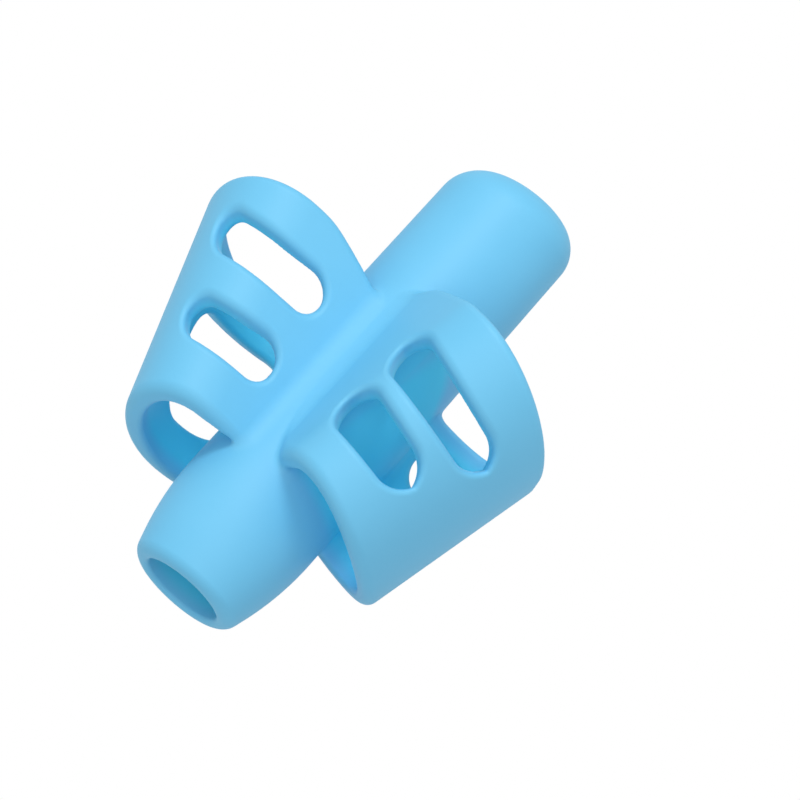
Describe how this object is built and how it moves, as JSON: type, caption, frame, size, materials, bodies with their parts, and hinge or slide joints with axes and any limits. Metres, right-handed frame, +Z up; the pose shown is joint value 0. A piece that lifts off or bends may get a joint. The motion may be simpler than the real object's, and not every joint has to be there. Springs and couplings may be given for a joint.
{
  "type": "pencil grip",
  "caption": "Soft tube that slips over a pencil, with an open, windowed finger cup on each side that sets the grip of thumb and index finger.",
  "frame": {"origin": "on the axis of the pencil bore, halfway along it", "axes": "+X along the bore from the nose to the tail, +Y to the side of the index cup, +Z up through the ridge between the cups"},
  "size_m": [0.0486, 0.041, 0.0235],
  "materials": {
    "silicone": "matte satin, light sky blue"
  },
  "bodies": {
    "barrel": {"nose_cone": "silicone", "grip_core": "silicone", "tail_sleeve": "silicone"},
    "index_cup": {"index_front_hoop": "silicone", "index_bridge": "silicone", "index_rear_hoop": "silicone"},
    "thumb_cup": {"thumb_front_hoop": "silicone", "thumb_bridge": "silicone", "thumb_rear_hoop": "silicone"}
  },
  "joints": [
    {"name": "index_cup_flex", "type": "hinge", "parent": "barrel", "child": "index_cup", "pos_m": [0, 0, 0], "axis": [1, 0, 0], "range_deg": [-8, 8], "stiffness_Nm_per_rad": 0.2},
    {"name": "thumb_cup_flex", "type": "hinge", "parent": "barrel", "child": "thumb_cup", "pos_m": [0, 0, 0], "axis": [-1, 0, 0], "range_deg": [-8, 8], "stiffness_Nm_per_rad": 0.2}
  ]
}
